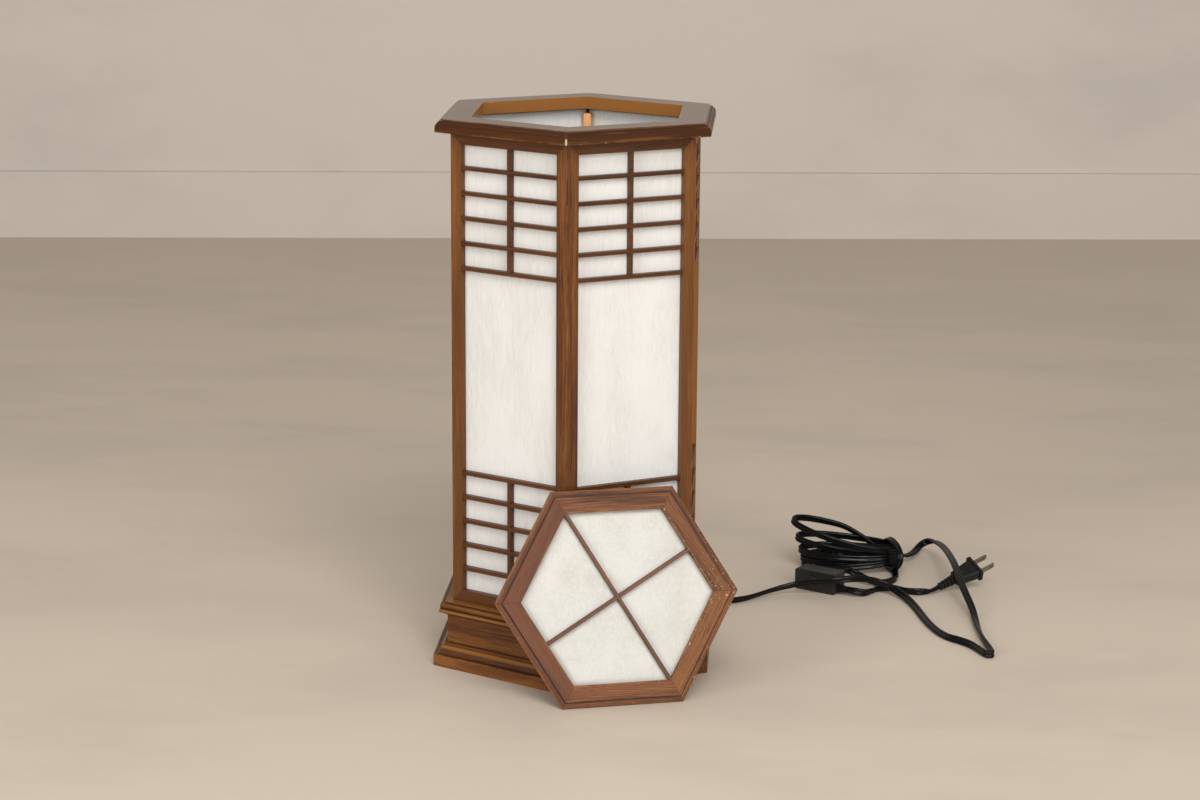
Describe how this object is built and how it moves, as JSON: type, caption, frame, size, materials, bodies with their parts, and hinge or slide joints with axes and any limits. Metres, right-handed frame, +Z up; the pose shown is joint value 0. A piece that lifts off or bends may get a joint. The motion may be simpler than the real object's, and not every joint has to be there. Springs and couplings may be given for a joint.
{
  "type": "rice paper table lamp",
  "caption": "Hexagonal table lamp of dark wood shoji panels and rice paper on a moulded plinth, with a moulded cap, a lattice lid leaning on it and a black cord with switch and plug.",
  "frame": {"origin": "on the tower's axis, at the underside of the base board, which is the plane the lamp stands on", "axes": "+Z up the tower; a corner of the tower points along -Y, towards the viewer"},
  "size_m": [0.5354, 0.53, 0.508],
  "materials": {
    "walnut_frame": "dark stained, satin lacquer",
    "walnut_moulding": "dark stained, satin lacquer, worn arrises",
    "walnut_lid": "reddish dark stain, satin lacquer",
    "rice_paper": "fibrous matt paper",
    "bare_wood": "bare",
    "bare_board": "bare board",
    "zinc": "zinc plated",
    "porcelain": "glazed",
    "brass": "bright",
    "frosted_glass": "frosted",
    "bulb_metal": "bright",
    "black_cord": "semi-gloss",
    "black_rubber": "matt",
    "black_plastic": "fine matt texture",
    "blade_metal": "dull nickel over brass"
  },
  "bodies": {
    "tower": {"base_board": "bare_board", "board_screws": "zinc", "cap_ring": "walnut_moulding", "cord_bushing": "black_rubber", "cord_hank": "black_cord", "cord_link": "black_cord", "cord_run": "black_cord", "cord_tail": "black_cord", "corner_posts": "bare_wood", "front_left_cross_bars": "walnut_frame", "front_left_mullions": "walnut_frame", "front_left_paper": "rice_paper", "front_left_rails": "walnut_frame", "front_left_stiles": "walnut_frame", "front_right_cross_bars": "walnut_frame", "front_right_mullions": "walnut_frame", "front_right_paper": "rice_paper", "front_right_rails": "walnut_frame", "front_right_stiles": "walnut_frame", "holder_body": "porcelain", "holder_contact": "brass", "holder_screws": "zinc", "holder_shell": "brass", "inner_lead": "black_cord", "left_cross_bars": "walnut_frame", "left_mullions": "walnut_frame", "left_paper": "rice_paper", "left_rails": "walnut_frame", "left_stiles": "walnut_frame", "plinth_mouldings": "walnut_moulding", "plug_blades": "blade_metal", "plug_body": "black_rubber", "plug_relief": "black_rubber", "rear_left_cross_bars": "walnut_frame", "rear_left_mullions": "walnut_frame", "rear_left_paper": "rice_paper", "rear_left_rails": "walnut_frame", "rear_left_stiles": "walnut_frame", "rear_right_cross_bars": "walnut_frame", "rear_right_mullions": "walnut_frame", "rear_right_paper": "rice_paper", "rear_right_rails": "walnut_frame", "rear_right_stiles": "walnut_frame", "right_cross_bars": "walnut_frame", "right_mullions": "walnut_frame", "right_paper": "rice_paper", "right_rails": "walnut_frame", "right_stiles": "walnut_frame", "switch_base": "black_plastic", "switch_cover": "black_plastic", "switch_reliefs": "black_rubber"},
    "lid": {"lid_frame": "walnut_lid", "lid_paper": "rice_paper", "lid_corner_bar": "walnut_lid", "lid_side_bar": "walnut_lid"},
    "bulb": {"bulb_glass": "frosted_glass", "bulb_cap": "bulb_metal", "bulb_contact": "bulb_metal"},
    "push_button": {"switch_button": "black_plastic"}
  },
  "joints": [
    {"name": "lid_lift", "type": "slide", "parent": "tower", "child": "lid", "axis": [0.2026, -0.6775, 0.7071], "range_m": [0, 0.25]},
    {"name": "bulb_turn", "type": "hinge", "parent": "tower", "child": "bulb", "pos_m": [0, 0, 0.08], "axis": [0, 0, 1], "continuous": true},
    {"name": "button_press", "type": "slide", "parent": "tower", "child": "push_button", "axis": [0.5, 0.866, 0], "range_m": [0, 0.002], "stiffness_N_per_m": 600, "springref_m": -0.001}
  ]
}
